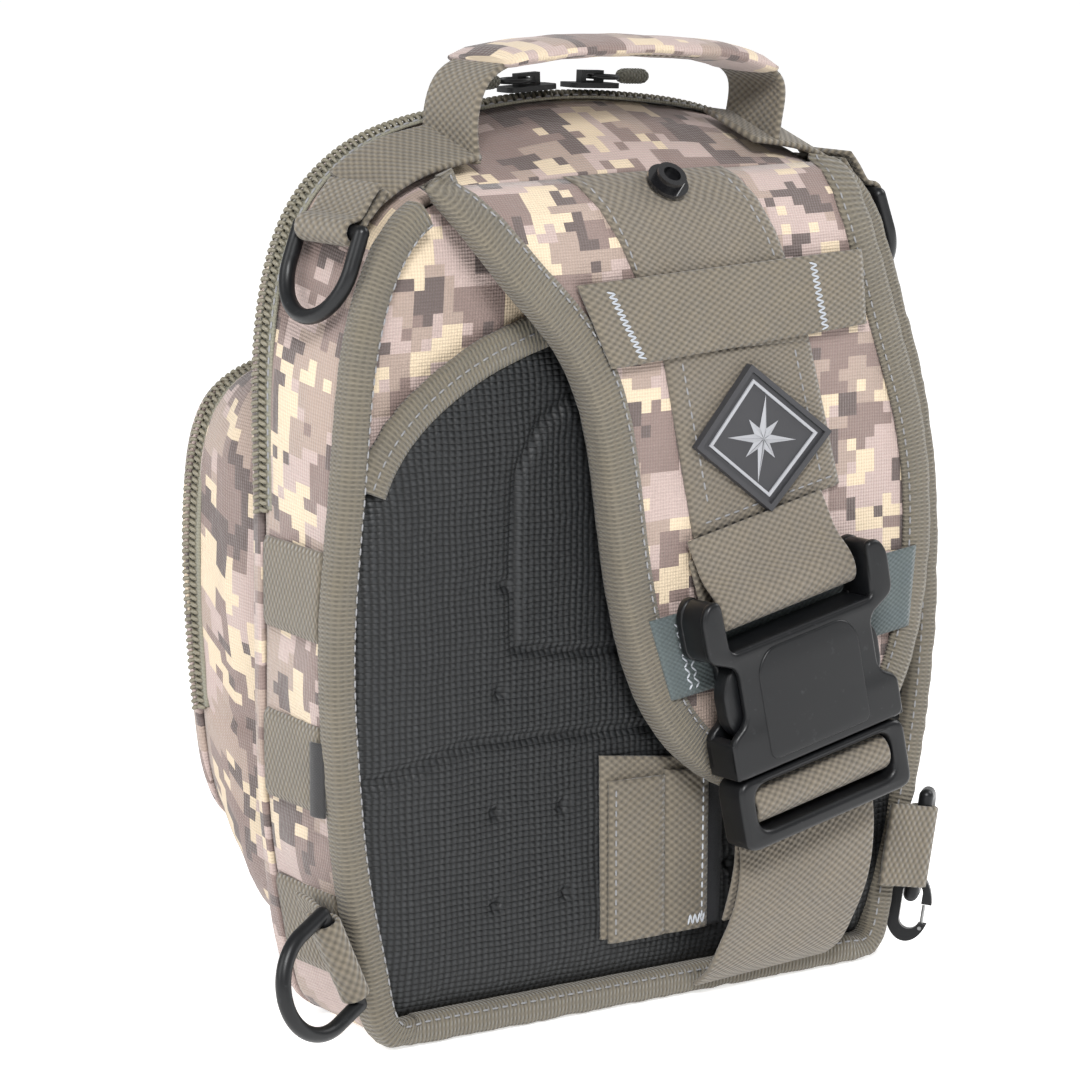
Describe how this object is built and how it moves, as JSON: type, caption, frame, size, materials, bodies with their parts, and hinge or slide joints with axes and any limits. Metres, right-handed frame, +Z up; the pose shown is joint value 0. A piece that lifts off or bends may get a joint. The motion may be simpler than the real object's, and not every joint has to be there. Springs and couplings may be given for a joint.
{
  "type": "sling bag",
  "caption": "Compact one-shoulder sling bag with a zip-open main compartment, front pocket, padded strap with side-release buckle, carry handle and D-rings",
  "frame": {"origin": "centre of the flat base that the bag stands on", "axes": "+Z up, +Y from the padded back panel towards the front pocket, +X to the right when the back panel is looked at"},
  "size_m": [0.2529, 0.1502, 0.2768],
  "materials": {
    "camo_fabric": "desert digital camouflage print on plain woven polyester",
    "webbing": "khaki ribbed webbing",
    "binding": "khaki grosgrain binding tape",
    "mesh": "black air mesh with a fine grid",
    "foam": "black closed-cell foam",
    "lining": "plain khaki lining cloth",
    "stiffener": "black polyethylene board",
    "zip": "khaki nylon coil on woven tape",
    "hardware": "black acetal, satin",
    "rubber": "moulded dark rubber",
    "cord": "grey-green cord",
    "stud": "glossy black press stud",
    "steel": "plain spring wire",
    "elastic": "dark woven elastic",
    "label": "plain black woven label"
  },
  "bodies": {
    "bag": {"back_foam_pad": "foam", "back_mesh_cover": "mesh", "back_panel": "camo_fabric", "back_panel_binding": "binding", "base_board": "stiffener", "bottom_ring_tab_left": "webbing", "bottom_ring_tab_right": "webbing", "buckle_female": "hardware", "inner_organizer": "lining", "lower_strap": "webbing", "main_front_panel": "camo_fabric", "main_gusset": "camo_fabric", "main_zip_lower": "zip", "main_zip_rear": "zip", "pad_arch_binding": "binding", "pocket_gusset": "camo_fabric", "pocket_lower_panel": "camo_fabric", "pocket_zip_rear": "zip", "side_label": "label", "side_stays": "webbing", "side_webbing_left": "webbing", "side_webbing_right": "webbing", "stow_tab": "webbing", "strap_binding": "binding", "strap_cross_webbing": "webbing", "strap_elastic_keeper": "elastic", "strap_end_loop": "webbing", "strap_pad": "camo_fabric", "strap_patch": "rubber", "strap_snap_stud": "stud", "strap_webbing": "webbing", "top_ring_tab_left": "webbing", "top_ring_tab_right": "webbing"},
    "flap": {"main_flap": "camo_fabric", "main_zip_flap": "zip"},
    "lid": {"pocket_lid": "camo_fabric", "pocket_zip_lid": "zip", "pocket_webbing": "webbing"},
    "slider_left": {"main_slider_left": "hardware"},
    "slider_right": {"main_slider_right": "hardware"},
    "pull_left": {"main_pull_loop_left": "hardware", "main_pull_grip_left": "cord"},
    "pull_right": {"main_pull_loop_right": "hardware", "main_pull_grip_right": "cord"},
    "pocket_zip_slider": {"pocket_slider": "hardware"},
    "pocket_pull": {"pocket_pull_loop": "hardware", "pocket_pull_grip": "cord"},
    "handle": {"handle_webbing": "webbing", "handle_sleeve": "camo_fabric"},
    "swing_top_ring_left": {"top_ring_left": "hardware"},
    "swing_top_ring_right": {"top_ring_right": "hardware"},
    "swing_bottom_ring_left": {"bottom_ring_left": "hardware"},
    "swing_bottom_ring_right": {"bottom_ring_right": "hardware"},
    "hook": {"snap_hook": "hardware", "snap_hook_pin": "steel"},
    "gate": {"snap_hook_gate": "steel"},
    "buckle_plug": {"buckle_male": "hardware"},
    "prong_left": {"buckle_prong_left": "hardware"},
    "prong_right": {"buckle_prong_right": "hardware"},
    "tab_leaf": {"stow_tab_leaf": "webbing"}
  },
  "joints": [
    {"name": "main_flap_open", "type": "hinge", "parent": "bag", "child": "flap", "pos_m": [0, 0.0278, 0.18985], "axis": [-1, 0, 0], "range_deg": [0, 80]},
    {"name": "pocket_lid_open", "type": "hinge", "parent": "bag", "child": "lid", "pos_m": [0, 0.0883, 0.07985], "axis": [-1, 0, 0], "range_deg": [0, 110]},
    {"name": "slider_left_travel", "type": "hinge", "parent": "bag", "child": "slider_left", "pos_m": [0, 0.017, 0.007], "axis": [0, -1, 0], "range_deg": [0, 11.5]},
    {"name": "slider_right_travel", "type": "hinge", "parent": "bag", "child": "slider_right", "pos_m": [0, 0.017, 0.007], "axis": [0, 1, 0], "range_deg": [0, 10.5]},
    {"name": "pull_left_swing", "type": "hinge", "parent": "slider_left", "child": "pull_left", "pos_m": [-0.00915, 0.017, 0.26283], "axis": [0, 1, 0], "range_deg": [0, 110]},
    {"name": "pull_right_swing", "type": "hinge", "parent": "slider_right", "child": "pull_right", "pos_m": [0.01362, 0.017, 0.26264], "axis": [0, -1, 0], "range_deg": [0, 110]},
    {"name": "pocket_slider_travel", "type": "slide", "parent": "bag", "child": "pocket_zip_slider", "axis": [1, 0, 0], "range_m": [-0.04, 0.04]},
    {"name": "pocket_pull_swing", "type": "hinge", "parent": "pocket_zip_slider", "child": "pocket_pull", "pos_m": [0, 0.0755, 0.1881], "axis": [0, -1, 0], "range_deg": [0, 175]},
    {"name": "handle_fold", "type": "hinge", "parent": "bag", "child": "handle", "pos_m": [0, -0.0065, 0.2505], "axis": [1, 0, 0], "range_deg": [-8, 45]},
    {"name": "top_ring_left_swing", "type": "hinge", "parent": "bag", "child": "swing_top_ring_left", "pos_m": [-0.094, -0.0085, 0.2273], "axis": [0, 1, 0], "range_deg": [-2, 75]},
    {"name": "top_ring_right_swing", "type": "hinge", "parent": "bag", "child": "swing_top_ring_right", "pos_m": [0.0885, -0.0085, 0.2273], "axis": [0, -1, 0], "range_deg": [-2, 75]},
    {"name": "bottom_ring_left_swing", "type": "hinge", "parent": "bag", "child": "swing_bottom_ring_left", "pos_m": [-0.1072, -0.0305, 0.0295], "axis": [0.4067, 0, -0.9135], "range_deg": [-90, 60]},
    {"name": "bottom_ring_right_swing", "type": "hinge", "parent": "bag", "child": "swing_bottom_ring_right", "pos_m": [0.1006, -0.0309, 0.033], "axis": [0.1908, 0, 0.9816], "range_deg": [-60, 12]},
    {"name": "hook_swing", "type": "hinge", "parent": "swing_bottom_ring_right", "child": "hook", "pos_m": [0.10264, -0.02595, 0.01753], "axis": [0.6941, 0.7071, -0.1349], "range_deg": [-15, 15]},
    {"name": "hook_gate_open", "type": "hinge", "parent": "hook", "child": "gate", "pos_m": [0.10338, -0.02871, 0.00689], "axis": [-0.6941, -0.7071, 0.1349], "range_deg": [0, 25], "stiffness_Nm_per_rad": 0.002},
    {"name": "buckle_release", "type": "slide", "parent": "bag", "child": "buckle_plug", "axis": [0.2079, 0, -0.9781], "range_m": [0, 0.037], "deforming": ["lower_strap"]},
    {"name": "prong_right_squeeze", "type": "hinge", "parent": "buckle_plug", "child": "prong_right", "pos_m": [0.05733, -0.0536, 0.07924], "axis": [0, -1, 0], "range_deg": [0, 7], "stiffness_Nm_per_rad": 0.02},
    {"name": "prong_left_squeeze", "type": "hinge", "parent": "buckle_plug", "child": "prong_left", "pos_m": [0.02065, -0.0536, 0.07145], "axis": [0, 1, 0], "range_deg": [0, 7], "stiffness_Nm_per_rad": 0.02},
    {"name": "stow_leaf_lift", "type": "hinge", "parent": "bag", "child": "tab_leaf", "pos_m": [0.00375, -0.0329, 0.044], "axis": [0, 0, 1], "range_deg": [0, 80]}
  ]
}
